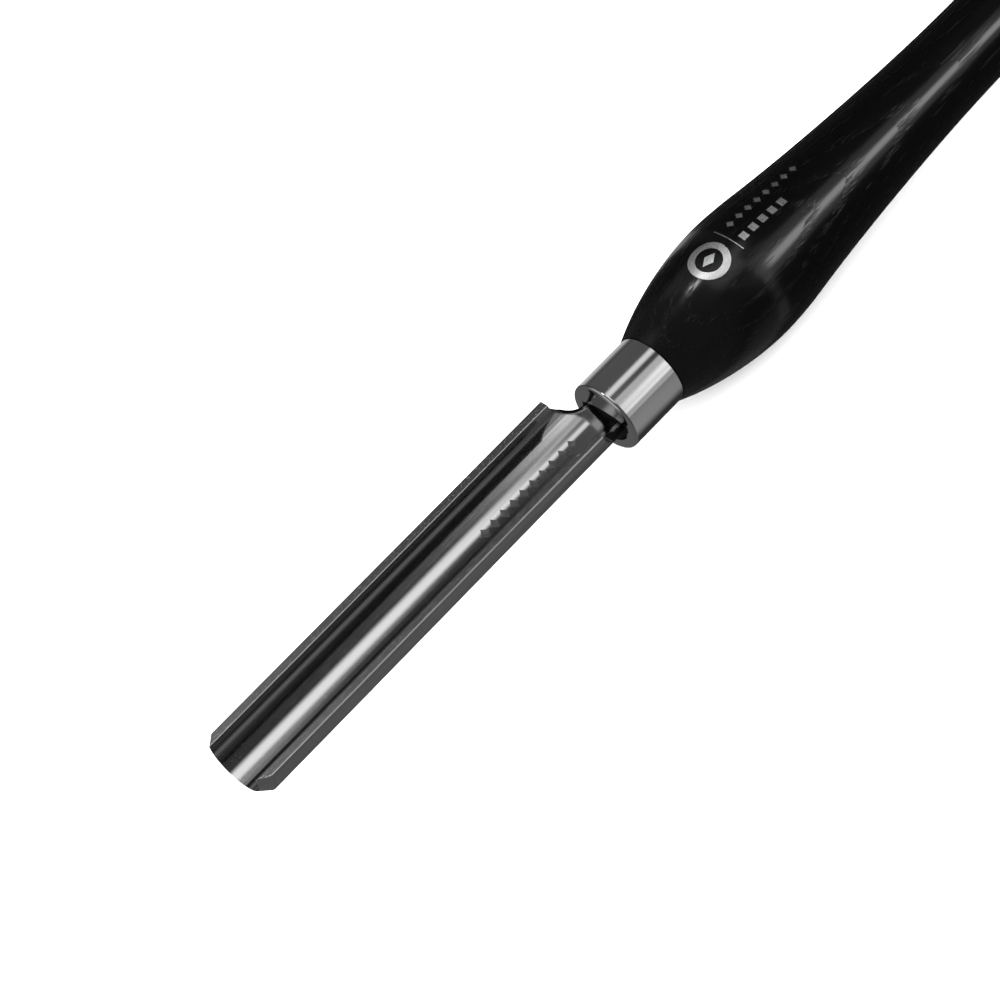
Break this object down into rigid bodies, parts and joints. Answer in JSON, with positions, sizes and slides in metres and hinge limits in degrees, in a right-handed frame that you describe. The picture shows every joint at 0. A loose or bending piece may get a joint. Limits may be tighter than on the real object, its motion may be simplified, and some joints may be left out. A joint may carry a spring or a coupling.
{
  "type": "woodturning roughing gouge",
  "caption": "Spindle roughing gouge with a half-round fluted steel blade, steel ferrule and turned black ash handle.",
  "frame": {"origin": "bottom centre of the box around the whole tool, under its axis at half length", "axes": "+X from the cutting edge to the butt, along the tool; +Z out of the open side of the flute; the tool is symmetric about the XZ plane"},
  "size_m": [0.557, 0.042, 0.042],
  "materials": {
    "blade_steel": "ground and polished high-speed steel, cross-ground on the rims",
    "ferrule_steel": "turned and polished steel",
    "adhesive": "cured black epoxy",
    "ash": "ebonised open-grain ash under gloss lacquer"
  },
  "bodies": {
    "root": {"blade": "blade_steel", "ferrule": "ferrule_steel", "tang_adhesive": "adhesive", "handle": "ash"}
  },
  "joints": []
}
